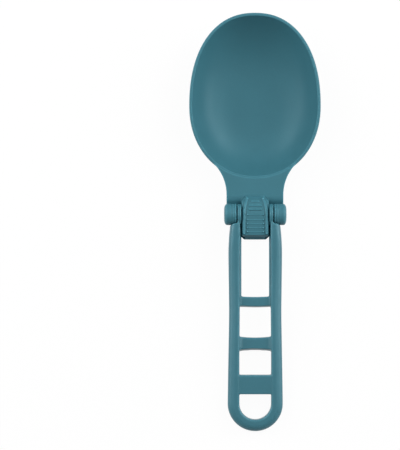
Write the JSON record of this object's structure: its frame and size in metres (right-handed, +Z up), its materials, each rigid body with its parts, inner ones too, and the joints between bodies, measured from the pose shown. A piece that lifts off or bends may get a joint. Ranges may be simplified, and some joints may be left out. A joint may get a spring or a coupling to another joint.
{
  "type": "folding serving spoon",
  "caption": "Folding serving spoon: egg-shaped bowl on a flat neck, loop handle with rungs that folds over the bowl, and a ribbed sliding lock at the hinge.",
  "frame": {"origin": "on the table, at the middle of the open spoon's outline, as it lies on its bowl and the end of its handle", "axes": "+X across the spoon, +Y from the handle towards the bowl's tip, +Z up, out of the bowl's hollow side"},
  "size_m": [0.0844, 0.266, 0.0312],
  "materials": {
    "head_plastic": "fine satin grain, teal blue",
    "handle_plastic": "fine satin grain, teal blue",
    "lock_plastic": "fine satin grain, teal blue"
  },
  "bodies": {
    "head": {"spoon_head": "head_plastic"},
    "grip": {"handle": "handle_plastic"},
    "lock": {"slide_lock": "lock_plastic"}
  },
  "joints": [
    {"name": "handle_fold", "type": "hinge", "parent": "head", "child": "grip", "pos_m": [0, 0.004, 0.02083], "axis": [-1, 0, 0], "range_deg": [0, 180]},
    {"name": "lock_slide", "type": "slide", "parent": "head", "child": "lock", "axis": [0, 0.9922, 0.1248], "range_m": [0, 0.009]}
  ]
}
